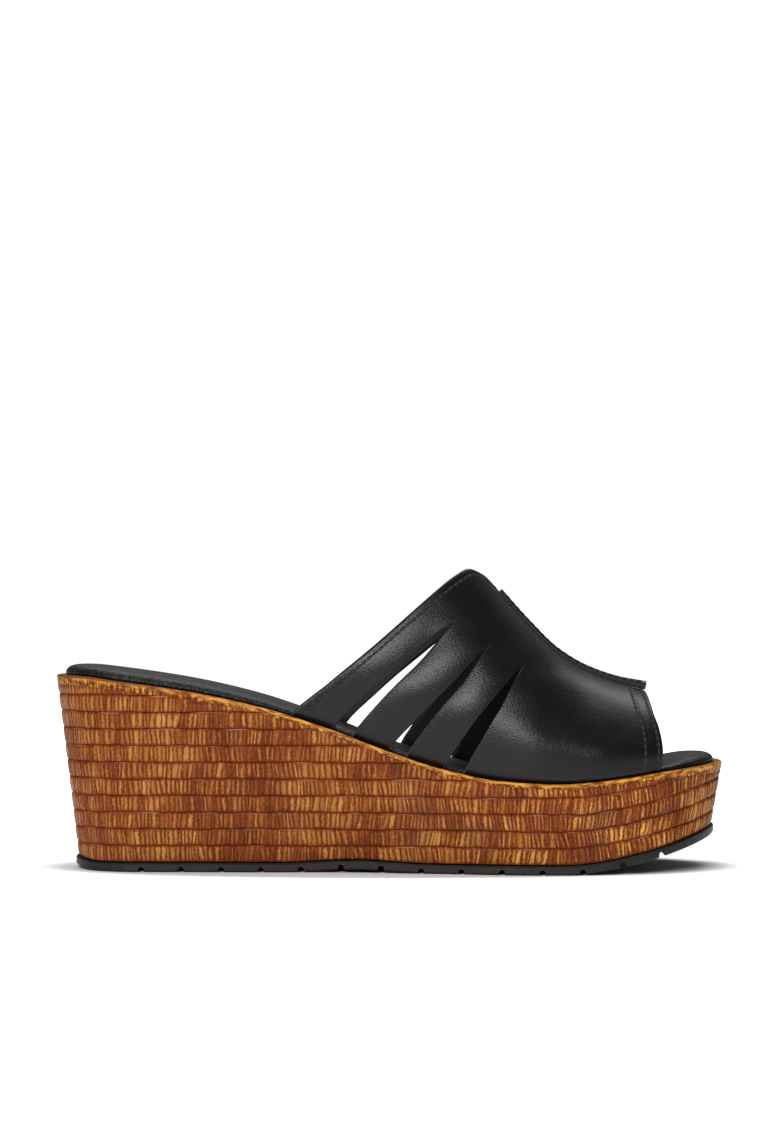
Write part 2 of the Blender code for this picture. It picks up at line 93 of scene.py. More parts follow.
# Upper
UPPER_WALL = 0.0018
FEATHER_INSET = 0.0013
INSTEP_HEIGHT = 0.1016
VAMP_TOE_HEIGHT = 0.0656
RIDGE_OFFSET = 0.002
ARCH_POWER = 2.2
TOE_BAND_WIDTH = 0.0054
TOE_BAND_STEP = 0.0006
STRIP_WIDTH = 0.009
STRIP_COLLAR_THICKNESS = 0.0011
STRIP_TOE_THICKNESS = 0.0024
STRIP_EDGE_SHARE = 0.55

# Room between pieces that touch
CLEARANCE = 0.0003

# Settings of a node that mixes two colours, and of one that rises softly
COLOUR_MIX = {"output": 2, "data_type": "RGBA"}
SOFT_RISE = {"interpolation_type": "SMOOTHSTEP"}

# Fineness of the shown meshes
RING_STEPS = 400
MERGE_DISTANCE = 0.000001
LIP_STATIONS = 160
TOP_ROWS = 12
PAD_EDGE_STEPS = 8
ROWS_TO_TIP = 22
ROWS_BELOW_TIP = 20
PANEL_COLUMNS = (22, 20, 20, 44)
BAND_COLUMNS = 10
STRIP_COLUMNS = 60
STRIP_ROWS = 16

# Staves of the wedge's courses
STAVE_FINE = 0.001
STAVE_BROAD = (0.0014, 0.0025)
FINE_STAVE_SHARE = 0.3
STAVE_GROOVE_WIDTH = 0.00045
STAVE_GROOVE_DEPTH = 0.0003
GROOVE_MOST_SHARE = 0.3
STAVE_LEAN = 0.0003
STAVE_SLANT = 0.0006
# Waves in which staves slant alike: radians a metre, and radians more a course
SLANT_PACE = 75
SLANT_SHIFT = 1.9
LIP_BLEND = 0.0005
CORE_INSET = 0.0013
COURSE_WANDER = 0.0001
# Waves in which the courses wander: strength, radians a metre, and radians more a course
WANDER_WAVES = ((1.0, 210, 2.1), (1.0, 93, 4.7), (0.7, 480, 1.3))
# Share of a course's height, and inset there, from its foot to its top
COURSE_PROFILE = (
    (0.0, 0.0014), (0.0, 0.0006), (0.05, 0.0002), (0.25, 0.0),
    (0.75, 0.0), (0.95, 0.0002), (1.0, 0.0006), (1.0, 0.0014),
)
# Height of the smooth lip over the staves, at a share of SHOE_LENGTH
LIP_AT = (0.0, 0.12, 0.3, 0.5, 0.8, 0.92, 1.0)
LIP_HEIGHTS = (0.0034, 0.0032, 0.0022, 0.0017, 0.0018, 0.0026, 0.0034)
# Share of the lip's height, and inset there, from the lip's foot to its top
LIP_PROFILE = (
    (1.0, CORE_INSET), (1.0, 0.0), (0.7, 0.0), (0.3, 0.0),
    (0.12, 0.00012), (0.03, 0.0004), (0.0, 0.0008),
)

# Straps' swell, creases of the leather, seams
PANEL_CROWNS = (0.0006, 0.001, 0.0007, 0.0)
CROWN_REACH = 0.14
CROWN_FOOT = 0.15
# Radius of each panel's back and front edge
PANEL_ROLLS = ((0.0007, 0.0003), (0.0003, 0.0003), (0.0003, 0.0003), (0.0003, 0.0004))
BAND_ROLLS = (0.0001, 0.0006)
BAND_TUCK = 0.0001
TIP_REACH = 0.03
FEATHER_SWELL = 0.0009
FEATHER_SWELL_AT = 0.85
FEATHER_SWELL_REACH = 0.09
ARCH_REACH = 0.09
STRIP_SEAT = 0.0004
STRIP_ROUND = 0.00035
# Faces of the strip whose normals rise less than this are its cut edge
STRIP_CUT_RISE = 0.5
STRIP_ROUND_ANGLE = math.radians(50)
STRIP_ROUND_STEPS = 2
STITCH_PITCH = 0.00265
STITCH_SHARE = 0.78
# Length share, width, height, lift and material of a stitch's thread and of the flat dark lens under it,
# the painted shade of its dent
STITCH_FORMS = (
    (1.0, 0.00052, 0.0004, 0.00006, 0),
    (1.35, 0.0014, 0.00016, 0.0, 1),
)
COLLAR_STITCH_INSET = 0.002
VAMP_STITCH_INSET = 0.0016
TOE_STITCH_INSET = 0.0019
STRIP_STITCH_ACROSS = 0.72
# Shares of the strip and of the arch where the stitch rows start and end, and steps to their slope
STRIP_STITCH_START = 0.03
COLLAR_STITCH_START = 0.06
TOE_STITCH_START = 0.1
STITCH_END = 0.985
ARCH_STEP = 0.005
NORMAL_STEP = 0.001

# Studio
CAMERA_DISTANCE = 1.3
CAMERA_HEIGHT = 0.1109
SENSOR_HEIGHT = 36.0
PHOTO_HEIGHT = 1132
PHOTO_PIXEL = 0.00037
FLOOR_REACH = 1.45
ROOM_LIGHT = 0.16
BACKGROUND = 1.05
# Painted glow of the floor, emission from no lamp, outside the shoe's outline, and behind it, and where
# that rises
FLOOR_GLOW = 0.55
FLOOR_GLOW_SHAPE = (8.1, 20.0, 1.0)
FLOOR_GLOW_FROM = (0.96, 1.12)
BACK_GLOW = 0.5
BACK_GLOW_FROM = (0.1, 0.6)
LIGHT_AIM = (0.0, 0.0, 0.05)
# Name, place, size and power of each softbox
SOFTBOXES = (
    ("softbox_front", (-0.41, -1.45, 0.7), (0.88, 0.34), 20.0),
    ("softbox_back", (0.1, 0.85, 1.3), (1.4, 1.0), 10.0),
    ("softbox_above", (0.0, 0.0, 1.8), (1.2, 1.2), 9.0),
)

# Plan outline at shares of SHOE_LENGTH: PLAN_BALL blends HEEL_WIDTH into BALL_WIDTH, outer and inner
# are shares of half that width.
PLAN_AT = (0.0, 0.14, 0.28, 0.42, 0.55, 0.64, 0.72, 0.8, 0.88, 0.95, 1.0)
PLAN_BALL = (0.0, 0.0, 0.02, 0.25, 0.6, 0.85, 1.0, 1.0, 1.0, 1.0, 1.0)
PLAN_OUTER = (1.0, 1.0, 1.01, 0.93, 0.93, 0.965, 0.99, 0.975, 0.885, 0.75, 0.64)
PLAN_INNER = (1.0, 1.0, 0.96, 0.79, 0.82, 0.925, 1.0, 1.03, 1.01, 0.95, 0.89)

# Rim height over PLATFORM_HEIGHT: shares of the heel's and of the toe's extra height
RIM_AT = (0.0, 0.04, 0.1, 0.2, 0.3, 0.4, 0.5, 0.58, 0.66, 0.75, 0.8, 0.9, 1.0)
RIM_HEEL = (1.0, 0.995, 0.95, 0.859, 0.726, 0.53, 0.292, 0.13, 0.03, 0.0, 0.0, 0.0, 0.0)
RIM_TOE = (0.0, 0.0, 0.0, 0.0, 0.0, 0.0, 0.0, 0.0, 0.0, 0.0, 0.12, 0.62, 1.0)

# Insole's share of its full thickness, less where the upper presses on it
PAD_AT = (0.0, 0.08, 0.2, 0.3, 0.4, 0.55, 0.8, 0.9, 0.95, 1.0)
PAD_SHARE = (1.0, 1.0, 0.92, 0.78, 0.62, 0.48, 0.44, 0.58, 0.94, 1.0)

# Ridge of the last over the instep: the rise is a share of the height from VAMP_TOE_HEIGHT up to
# INSTEP_HEIGHT. Behind the collar's notch the ridge goes on up the shin and holds no leather.
RIDGE_AT = (0.35, 0.41, 0.49, 0.57, 0.618, 0.664, 0.708, 0.749, 0.794, 0.846, 0.885, 0.915)
RIDGE_RISE = (2.85, 2.58, 2.18, 1.74, 1.4, 1.0, 0.66, 0.385, 0.193, 0.06, 0.0, -0.055)

# Edge lines: shares of the arch from ridge to feather, and of SHOE_LENGTH where the edge lies
COLLAR_ARCH = (0.0, 0.078, 0.19, 0.245, 0.375, 0.494, 0.617, 0.782, 0.927, 1.0)
COLLAR_ALONG = (0.664, 0.647, 0.63, 0.6195, 0.599, 0.575, 0.5415, 0.48, 0.405, 0.353)
COLLAR_INNER_SHIFT = 0.004
TOE_ARCH = (0.0, 0.3, 0.48, 0.63, 0.775, 1.0)
TOE_ALONG = (0.8854, 0.8885, 0.8925, 0.8992, 0.9024, 0.9018)

# Slits: each opens from its tip to the feather. Places are shares of SHOE_LENGTH, tip_at is a share
# of the arch, ridge is where the slit's line would reach the ridge, and inner_shift moves the
# slit of the inner side. Low and high are at the arch shares SLIT_LOW_AT and SLIT_HIGH_AT.
SlitRow = namedtuple(
    "SlitRow",
    "ridge tip tip_at back_high back_low back_foot front_high front_low front_foot inner_shift",
)
SLITS = (
    SlitRow(0.7, 0.5945, 0.593, 0.535, 0.4705, 0.416, 0.548, 0.4903, 0.443, 0.014),
    SlitRow(0.75, 0.648, 0.557, 0.5995, 0.547, 0.4985, 0.608, 0.5615, 0.5225, -0.009),
    SlitRow(0.797, 0.6945, 0.538, 0.651, 0.613, 0.58, 0.664, 0.6345, 0.606, -0.014),
)
SLIT_HIGH_AT = 0.76
SLIT_LOW_AT = 0.90

# Sides of the foot
OUTER = -1
INNER = 1

# Soft troughs and ridges of the leather: up from the tips of the slits, and over the vamp
CreaseRow = namedtuple("CreaseRow", "side start_x start_arch end_x end_arch width rise")
CREASES = [CreaseRow(*row) for row in (
    (OUTER, 0.1475, 0.57, 0.157, 0.42, 0.004, -0.0002),
    (OUTER, 0.1605, 0.535, 0.169, 0.4, 0.004, -0.0002),
    (OUTER, 0.172, 0.515, 0.181, 0.38, 0.0045, -0.00022),
    (OUTER, 0.178, 0.6, 0.189, 0.72, 0.007, 0.00035),
    (OUTER, 0.198, 0.48, 0.211, 0.6, 0.006, -0.0002),
    (INNER, 0.151, 0.57, 0.158, 0.44, 0.004, -0.0002),
    (INNER, 0.158, 0.535, 0.166, 0.41, 0.004, -0.00018),
    (INNER, 0.169, 0.515, 0.177, 0.4, 0.0045, -0.0002),
    (INNER, 0.175, 0.61, 0.186, 0.73, 0.007, 0.0003),
    (INNER, 0.194, 0.5, 0.208, 0.6, 0.006, -0.0002),
)]


def smooth(places, values, at):
    """Value at a share, by cubic pieces that keep the rises and falls of a row of values."""
    at = min(max(at, places[0]), places[-1])
    spans = [b - a for a, b in zip(places, places[1:])]
    rises = [(b - a) / span for a, b, span in zip(values, values[1:], spans)]
    slopes = [rises[0]]
    for before, after in zip(rises, rises[1:]):
        level = before * after <= 0
        slopes.append(0.0 if level else 2 * before * after / (before + after))
    slopes.append(rises[-1])
    piece = max(i for i in range(len(spans)) if places[i] <= at)
    span = spans[piece]
    share = (at - places[piece]) / span
    return (
        (1 + 2 * share) * (1 - share) ** 2 * values[piece]
        + share * share * (3 - 2 * share) * values[piece + 1]
        + share * (1 - share) ** 2 * span * slopes[piece]
        + share * share * (share - 1) * span * slopes[piece + 1]
    )


def rounded_end(share, power):
    """Half width of a rounded end, from 0 at its tip to 1 at its full width."""
    share = min(max(share, 0.0), 1.0)
    return (1 - (1 - share) ** power) ** (1 / power)


@lru_cache(maxsize=None)
def plan_half(at, side):
    """Distance of the rim from the shoe's axis on one side, before the ends are rounded."""
    blend = smooth(PLAN_AT, PLAN_BALL, at)
    local_half = (HEEL_WIDTH + (BALL_WIDTH - HEEL_WIDTH) * blend) / 2
    return local_half * smooth(PLAN_AT, PLAN_OUTER if side == OUTER else PLAN_INNER, at)


def centre_line(at):
    """Middle of the outline at a share of SHOE_LENGTH."""
    return (plan_half(at, INNER) - plan_half(at, OUTER)) / 2


def outline_x(at, depth=0.0, inset=0.0):
    """Place along the shoe of a station, where the ends lean in with depth below the rim."""
    heel_weight = max(0.0, 1 - at * SHOE_LENGTH / DRAFT_REACH) ** 2
    toe_weight = max(0.0, 1 - (1 - at) * SHOE_LENGTH / DRAFT_REACH) ** 2
    from_heel = (depth * math.tan(HEEL_DRAFT) + inset) * heel_weight
    from_toe = (depth * math.tan(TOE_DRAFT) + inset) * toe_weight
    return SHOE_LENGTH * at + from_heel - from_toe


def outline_y(at, side, depth=0.0, inset=0.0):
    """Place across the shoe of the outline at a station."""
    half = (plan_half(at, INNER) + plan_half(at, OUTER)) / 2
    half -= depth * math.tan(SIDE_DRAFT) + inset
    heel_end = rounded_end(at * SHOE_LENGTH / HEEL_ROUND_LENGTH, HEEL_ROUND_POWER)
    toe_end = rounded_end((1 - at) * SHOE_LENGTH / TOE_ROUND_LENGTH, TOE_ROUND_POWER)
    return centre_line(at) + side * half * heel_end * toe_end


@lru_cache(maxsize=None)
def rim_height(at):
    """Height of the wedge's top edge."""
    heel_part = (HEEL_HEIGHT - PLATFORM_HEIGHT) * smooth(RIM_AT, RIM_HEEL, at)
    toe_part = (TOE_HEIGHT - PLATFORM_HEIGHT) * smooth(RIM_AT, RIM_TOE, at)
    return PLATFORM_HEIGHT + heel_part + toe_part


def toe_lift(x):
    """Rise of the tread towards the toe."""
    share = max(0.0, (x - SHOE_LENGTH + TOE_SPRING_LENGTH) / TOE_SPRING_LENGTH)
    return TOE_SPRING * share ** TOE_SPRING_POWER


def tread_height(x):
    """Height of the tread's underside: heel bevel, flat heel, low arch, flat ball, toe spring."""
    heel = HEEL_BEVEL_HEIGHT * max(0.0, 1 - x / HEEL_BEVEL_LENGTH)
    arch_share = min(max((x - ARCH_START) / ARCH_LENGTH, 0.0), 1.0)
    arch = ARCH_LIFT * math.sin(math.pi * arch_share) ** 2
    return heel + arch + toe_lift(x)


def arch_point(at, side, arch):
    """Point of the upper's outer surface: arch is 0 on the ridge and 1 at the feather."""
    angle = math.pi / 2 * arch
    across = math.sin(angle) ** (2 / ARCH_POWER)
    up = max(math.cos(angle), 0.0) ** (2 / ARCH_POWER)
    ridge_y = centre_line(at) + RIDGE_OFFSET
    foot_y = outline_y(at, side, 0.0, FEATHER_INSET)
    y = ridge_y + (foot_y - ridge_y) * across
    rise = smooth(RIDGE_AT, RIDGE_RISE, at)
    ridge_z = VAMP_TOE_HEIGHT + (INSTEP_HEIGHT - VAMP_TOE_HEIGHT) * rise
    foot_z = rim_height(at) + CLEARANCE
    return Vector((outline_x(at, 0.0, FEATHER_INSET), y, foot_z + (ridge_z - foot_z) * up))


def arch_normal(at, side, arch):
    """Direction straight out of the upper's outer surface."""
    step = 0.002
    low = max(arch - step, 0.0)
    across = arch_point(at, side, min(low + 2 * step, 1.0)) - arch_point(at, side, low)
    along = arch_point(at + step, side, arch) - arch_point(at - step, side, arch)
    return across.cross(along).normalized() * (1 if side == OUTER else -1)


def slit_edge(slit, end, side, arch):
    """Share of SHOE_LENGTH of one edge of a slit, or of its line between tip and ridge."""
    shift = slit.inner_shift if side == INNER else 0.0
    if arch <= slit.tip_at:
        share = arch / slit.tip_at
        return slit.ridge + (slit.tip + shift - slit.ridge) * share
    high, low, foot = (getattr(slit, end + part) for part in ("_high", "_low", "_foot"))
    places = (slit.tip_at, SLIT_HIGH_AT, SLIT_LOW_AT, 1.0)
    return smooth(places, (slit.tip, high, low, foot), arch) + shift


def collar_edge(side, arch):
    """Share of SHOE_LENGTH of the collar's edge."""
    shift = COLLAR_INNER_SHIFT * arch if side == INNER else 0.0
    return smooth(COLLAR_ARCH, COLLAR_ALONG, arch) + shift


def toe_edge(side, arch):
    """Share of SHOE_LENGTH of the toe opening's edge."""
    return smooth(TOE_ARCH, TOE_ALONG, arch)


def vamp_edge(side, arch):
    """Share of SHOE_LENGTH of the vamp's cut edge, behind the toe band."""
    return toe_edge(side, arch) - TOE_BAND_WIDTH / SHOE_LENGTH


def arch_share_at(at, side, across):
    """Arch share where the surface lies a given distance across from the ridge."""
    ridge_y = centre_line(at) + RIDGE_OFFSET
    half = abs(outline_y(at, side, 0.0, FEATHER_INSET) - ridge_y)
    return math.asin((across / half) ** (ARCH_POWER / 2)) / (math.pi / 2)


def outline_middle():
    """Middle of the shoe's width, half way between its widest points."""
    places = [ring_place(RIM_LENGTH * step / RING_STEPS) for step in range(RING_STEPS)]
    edges = [outline_y(*place) for place in places]
    return (max(edges) + min(edges)) / 2


def ring_turn(turn):
    """Share of SHOE_LENGTH and side, where turn runs 0 to 1 along the outer side and 1 to 2 back."""
    side = OUTER if turn <= 1 else INNER
    share = turn if turn <= 1 else 2 - turn
    return (1 - math.cos(math.pi * share)) / 2, side


def rim_distances():
    """Distance round the rim from the heel's tip at closely spaced turns."""
    turns = [ring_turn(step / RING_STEPS) for step in range(2 * RING_STEPS + 1)]
    places = [(outline_x(at), outline_y(at, side)) for at, side in turns]
    return [0.0, *accumulate(math.dist(a, b) for a, b in zip(places, places[1:]))]


def ring_place(distance):
    """Share of SHOE_LENGTH and side at a distance round the rim from the heel's tip."""
    piece = min(max(bisect_right(RIM_DISTANCES, distance) - 1, 0), 2 * RING_STEPS - 1)
    span = RIM_DISTANCES[piece + 1] - RIM_DISTANCES[piece]
    share = (distance - RIM_DISTANCES[piece]) / span
    return ring_turn(min((piece + share) / RING_STEPS, 2.0))


def bell(distance, width):
    """Smooth bump, 1 at no distance and near 0 past its width."""
    return math.exp(-((distance / width) ** 2))


def mapped_grid(bm, columns, rows, to_point, to_uv=None, keep_face=None):
    """A grid whose corner at each column and row goes to a point, its faces mapped on the way."""
    made = bmesh.ops.create_grid(bm, x_segments=columns, y_segments=rows, size=0.5)["verts"]
    places = {
        corner: (round((corner.co.x + 0.5) * columns), round((corner.co.y + 0.5) * rows))
        for corner in made
    }
    faces = {face for corner in made for face in corner.link_faces}
    if to_uv:
        layer = bm.loops.layers.uv.verify()
        for face in faces:
            for loop in face.loops:
                loop[layer].uv = to_uv(*places[loop.vert])
    if keep_face:
        gone = [face for face in faces if not keep_face(min(places[v][0] for v in face.verts))]
        bmesh.ops.delete(bm, geom=gone, context="FACES")
    for corner, (column, row) in places.items():
        if corner.is_valid:
            corner.co = to_point(column, row)


def link_object(name, data):
    """New object of the scene."""
    made = bpy.data.objects.new(name, data)
    bpy.context.scene.collection.objects.link(made)
    return made


def shape_object(name, bm, materials):
    """New object with the shape that a bmesh holds."""
    mesh = bpy.data.meshes.new(name)
    bm.to_mesh(mesh)
    bm.free()
    for material in materials:
        mesh.materials.append(material)
    return link_object(name, mesh)


def show(name, bm, materials, node=None, recalculate=True):
    """One piece of the shoe, moved over its middle, that rides on the shoe's only body."""
    bmesh.ops.remove_doubles(bm, verts=bm.verts, dist=MERGE_DISTANCE)
    bmesh.ops.dissolve_degenerate(bm, edges=bm.edges, dist=MERGE_DISTANCE)
    if recalculate:
        bmesh.ops.recalc_face_normals(bm, faces=bm.faces)
    bmesh.ops.translate(bm, verts=bm.verts, vec=(-SHOE_LENGTH / 2, -SHOE_MIDDLE, 0.0))
    for face in bm.faces:
        face.smooth = True
    piece = shape_object(name, bm, materials)
    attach(piece, "root")
    if node:
        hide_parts(node)
    return piece


def to_linear(text):
    """Linear colour from an sRGB hex value."""
    parts = [int(text[i:i + 2], 16) / 255 for i in (1, 3, 5)]
    linear = [p / 12.92 if p <= 0.04045 else ((p + 0.055) / 1.055) ** 2.4 for p in parts]
    return (*linear, 1.0)


def add_node(owner, kind, inputs=None, output=0, **settings):
    """One node with its settings; inputs are values, hex colours or other nodes' outputs."""
    tree = owner.node_tree
    node = tree.nodes.new("ShaderNode" + kind)
    for name, value in settings.items():
        setattr(node, name, value)
    for name, value in (inputs or {}).items():
        if isinstance(value, bpy.types.NodeSocket):
            tree.links.new(value, node.inputs[name])
        elif isinstance(value, str):
            node.inputs[name].default_value = to_linear(value)
        else:
            node.inputs[name].default_value = value
    return node.outputs[output] if node.outputs else node


def start_material(name, colour):
    """Material with its colour in a plain view, add_node for it, and the place on its object."""
    material = bpy.data.materials.new(name)
    material.use_nodes = True
    material.node_tree.nodes.clear()
    material.diffuse_color = to_linear(colour)
    add = partial(add_node, material)
    return material, add, add("TexCoord", output="Object")


def smooth_leather(name, colour):
    """Polished full grain cowhide: soft broad gloss, its highlights broken up by a fine grain."""
    leather, add, place = start_material(name, colour)
    # Real grain is about 0.3 mm; drawn at 0.5 mm so that the render shows it.
    grain = add("TexNoise", {"Vector": place, "Scale": 1900.0, "Detail": 2.0})
    hide = add("TexNoise", {"Vector": place, "Scale": 300.0, "Detail": 2.0})
    both = add("Math", {0: hide, 1: 0.35, 2: grain}, operation="MULTIPLY_ADD")
    bump = add("Bump", {"Height": both, "Distance": 0.0001})
    cloud = add("TexNoise", {"Vector": place, "Scale": 40.0, "Detail": 3.0})
    gloss = add("MapRange", {"Value": cloud, "To Min": 0.27, "To Max": 0.35})
    shader = add("BsdfPrincipled", {
        "Base Color": colour, "Roughness": gloss, "IOR": 1.5, "Specular IOR Level": 0.29, "Normal": bump,
    })
    add("OutputMaterial", {"Surface": shader})
    return leather


def plain_finish(name, colour, roughness, scale=900.0, depth=0.00005):
    """Dull finish with a faint unevenness, for thread, cut edges, lining and the painted shade of the
    needle dents.
    """
    finish, add, place = start_material(name, colour)
    fibre = add("TexNoise", {"Vector": place, "Scale": scale, "Detail": 3.0})
    bump = add("Bump", {"Height": fibre, "Distance": depth})
    surface = {"Base Color": colour, "Roughness": roughness, "IOR": 1.5, "Normal": bump}
    shader = add("BsdfPrincipled", surface)
    add("OutputMaterial", {"Surface": shader})
    return finish


def studio_floor(name, colour):
    """White acrylic floor with a painted glow, emission from no lamp, round the shoe and behind it, so
    that it shows white as in a product studio.
    """
    floor, add, place = start_material(name, colour)
    # One at the shoe's outline
    scaled = add("Mapping", {"Vector": place, "Scale": FLOOR_GLOW_SHAPE})
    distance = add("VectorMath", {0: scaled}, output="Value", operation="LENGTH")
    behind = add("SeparateXYZ", {0: place}, output=1)
    glows = []
    for measure, (near, far), most in (
        (distance, FLOOR_GLOW_FROM, FLOOR_GLOW),
        (behind, BACK_GLOW_FROM, BACK_GLOW),
    ):
        reach = {"Value": measure, "From Min": near, "From Max": far, "To Max": most}
        glows.append(add("MapRange", reach, **SOFT_RISE))
    both = add("Math", {0: glows[0], 1: glows[1]}, operation="ADD")
    shader = add("BsdfPrincipled", {
        "Base Color": colour, "Roughness": 0.9, "Specular IOR Level": 0.1,
        "Emission Color": "#FFFFFF", "Emission Strength": both,
    })
    add("OutputMaterial", {"Surface": shader})
    return floor


def pebbled_leather(name, colour, pale):
    """Embossed sock leather of the footbed: small pebbles, matt, paler on their tops."""
    leather, add, place = start_material(name, colour)
    # Pebbles of about 0.9 mm
    pebbles = add("TexVoronoi", {"Vector": place, "Scale": 1100.0}, feature="SMOOTH_F1")
    soft = add("TexNoise", {"Vector": place, "Scale": 300.0, "Detail": 3.0})
    height = add("Math", {0: pebbles, 1: -1.0, 2: soft}, operation="MULTIPLY_ADD")
    bump = add("Bump", {"Height": height, "Distance": 0.00032})
    tint = add("MapRange", {"Value": pebbles, "From Max": 0.6, "To Min": 1.0, "To Max": 0.0})
    tone = add("Mix", {0: tint, 6: colour, 7: pale}, **COLOUR_MIX)
    shader = add("BsdfPrincipled", {
        "Base Color": tone, "Roughness": 0.45, "IOR": 1.5, "Specular IOR Level": 0.24, "Normal": bump,
    })
    add("OutputMaterial", {"Surface": shader})
    return leather


def moulded_rubber(name, colour):
    """Moulded styrene rubber: dull black with a soft sheen and a faint skin texture."""
    rubber, add, place = start_material(name, colour)
    skin = add("TexNoise", {"Vector": place, "Scale": 700.0, "Detail": 4.0})
    bump = add("Bump", {"Height": skin, "Distance": 0.0001})
    dust = add("TexNoise", {"Vector": place, "Scale": 90.0, "Detail": 5.0})
    wear = add("MapRange", {"Value": dust, "From Min": 0.4, "From Max": 0.7})
    tone = add("Mix", {0: wear, 6: colour, 7: "#121414"}, **COLOUR_MIX)
    shader = add("BsdfPrincipled", {
        "Base Color": tone, "Roughness": 0.5, "IOR": 1.5, "Specular IOR Level": 0.36, "Normal": bump,
    })
    add("OutputMaterial", {"Surface": shader})
    return rubber


def painted_staves(name):
    """Moulded polyurethane, stained red brown, its raised staves rubbed with gold paint; shade and
    highlights painted in.

    The piece's UV map counts staves along and courses up, so the paint follows the relief.
    """
    staves, add, place = start_material(name, "#9A5A28")
    # Unevenness of about 1, 2, 11, 18 and 26 mm
    speckle, wander, corner_glint_noise, brush, cloud = (
        add("TexNoise", {"Vector": place, "Scale": scale, "Detail": detail})
        for scale, detail in ((1100.0, 3.0), (600.0, 3.0), (90.0, 1.0), (55.0, 2.0), (38.0, 2.0))
    )
    layout = add("UVMap", uv_map="staves")
    shift = add("MapRange", {"Value": wander, "To Min": -0.28, "To Max": 0.28})
    along, up = (add("SeparateXYZ", {0: layout}, output=axis) for axis in (0, 1))
    moved = add("Math", {0: along, 1: shift}, operation="ADD")
    stave = add("Math", {0: moved}, operation="FLOOR")
    course = add("Math", {0: up}, operation="FLOOR")
    in_stave = add("Math", {0: moved}, operation="FRACT")
    in_course = add("Math", {0: up}, operation="FRACT")
    number = add("CombineXYZ", {0: stave, 1: course})
    chance = add("TexWhiteNoise", {"Vector": number}, noise_dimensions="2D")
    chances = add("TexWhiteNoise", {"Vector": number}, output="Color", noise_dimensions="2D")
    lean_chance, tone_chance = (add("SeparateColor", {0: chances}, output=part) for part in (1, 2))

    # Ragged gold tongue of each stave, more of it where the brush passed
    lean = add("MapRange", {"Value": lean_chance, "To Min": -0.4, "To Max": 0.4})
    height = add("Math", {0: in_course, 1: -0.5}, operation="ADD")
    middle = add("Math", {0: lean, 1: height, 2: 0.5}, operation="MULTIPLY_ADD")
    away = add("Math", {0: in_stave, 1: middle}, operation="SUBTRACT")
    distance = add("Math", {0: away}, operation="ABSOLUTE")
    broad = add("MapRange", {"Value": chance, "To Min": 0.02, "To Max": 0.3})
    pressed = {"Value": brush, "From Min": 0.36, "From Max": 0.64, "To Min": -0.08, "To Max": 0.07}
    passes = add("MapRange", pressed)
    reach = add("Math", {0: broad, 1: passes}, operation="ADD")
    inside = add("Math", {0: reach, 1: distance}, operation="SUBTRACT")
    side_share = add("MapRange", {"Value": inside, "From Min": -0.05, "From Max": 0.08}, **SOFT_RISE)
    ragged = add("Math", {0: shift, 1: 0.35, 2: in_course}, operation="MULTIPLY_ADD")
    tongue = side_share
    for bare, full in ((0.08, 0.2), (0.93, 0.8)):
        end_share = add("MapRange", {"Value": ragged, "From Min": bare, "From Max": full})
        tongue = add("Math", {0: tongue, 1: end_share}, operation="MULTIPLY")
    # Streaks along the staves, about 0.3 mm apart
    stretched = add("CombineXYZ", {0: along, 1: up})
    drawn_out = add("Mapping", {"Vector": stretched, "Scale": (5.0, 0.9, 1.0)})
    streaks = add("TexNoise", {"Vector": drawn_out, "Scale": 1.0, "Detail": 3.0})
    worn = add("Math", {0: streaks, 1: speckle}, operation="MULTIPLY")
    toned = add("MapRange", {"Value": lean_chance, "To Min": -0.14, "To Max": 0.12})
    level = add("Math", {0: passes, 1: toned}, operation="ADD")
    for layer, strength in ((streaks, 0.9), (speckle, 0.7), (tongue, 0.36)):
        level = add("Math", {0: layer, 1: strength, 2: level}, operation="MULTIPLY_ADD")
    brown_share = add("MapRange", {"Value": level, "From Min": 0.55, "From Max": 0.9})
    gold_share = add("MapRange", {"Value": level, "From Min": 0.86, "From Max": 1.25})
    brown = add("Mix", {0: brown_share, 6: "#5A2404", 7: "#864216"}, **COLOUR_MIX)
    # Gold painted brighter towards the toe: painted highlight for the light that the toe catches
    forward = add("SeparateXYZ", {0: place}, output=0)
    toe_highlight_share = add("MapRange", {"Value": forward, "From Min": 0.0, "From Max": 0.08})
    dull = add("Mix", {0: tone_chance, 6: "#94602A", 7: "#B28040"}, **COLOUR_MIX)
    bright = add("Mix", {0: tone_chance, 6: "#B0772F", 7: "#D29C50"}, **COLOUR_MIX)
    gold = add("Mix", {0: toe_highlight_share, 6: dull, 7: bright}, **COLOUR_MIX)
    painted = add("Mix", {0: gold_share, 6: brown, 7: gold}, **COLOUR_MIX)
    # Darker patches where less gold took
    thin = {"Value": cloud, "From Min": 0.54, "From Max": 0.72, "To Max": 0.5}
    patch = add("MapRange", thin, **SOFT_RISE)
    # Grooves between staves and courses darker: stain left dark in them, and painted shade at the foot of
    # each course, under the course above
    from_groove = add("Math", {0: in_stave, 1: -0.5}, operation="ADD")
    to_groove = add("Math", {0: from_groove}, operation="ABSOLUTE")
    filled = {"Value": to_groove, "From Min": 0.40, "From Max": 0.49, "To Max": 0.8}
    stave_groove = add("MapRange", filled, **SOFT_RISE)
    course_foot_shade = add("MapRange", {"Value": in_course, "From Min": 0.07, "From Max": 0.015}, **SOFT_RISE)
    groove = add("Math", {0: stave_groove, 1: course_foot_shade}, operation="MAXIMUM")
